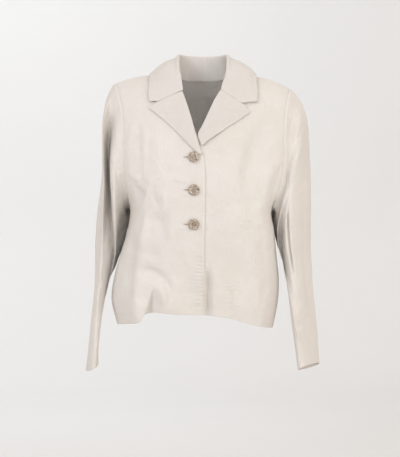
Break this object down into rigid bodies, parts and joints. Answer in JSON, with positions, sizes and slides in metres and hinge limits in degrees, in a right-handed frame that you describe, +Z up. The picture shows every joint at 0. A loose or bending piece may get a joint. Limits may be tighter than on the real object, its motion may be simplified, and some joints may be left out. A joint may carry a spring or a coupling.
{
  "type": "blazer",
  "caption": "Cropped single-breasted blazer with a notched collar, buttoned front and long sleeves, in its hollow worn form.",
  "frame": {"origin": "between the shoulders, in the middle of the neck opening at the height of the shoulder seams", "axes": "+Z up, the buttoned front faces -Y, the wearer's left sleeve is at +X"},
  "size_m": [0.528, 0.2595, 0.7236],
  "materials": {
    "cloth": "matte ecru plain weave",
    "facing": "matte ecru plain weave, pressed over interlining",
    "button": "mottled brown horn look, polished"
  },
  "bodies": {
    "root": {"front_right": "cloth", "front_left": "cloth", "back": "cloth", "sleeve_right": "cloth", "sleeve_left": "cloth", "lapel_right": "facing", "lapel_left": "facing", "collar": "facing", "button_top": "button", "button_middle": "button", "button_bottom": "button"}
  },
  "joints": []
}
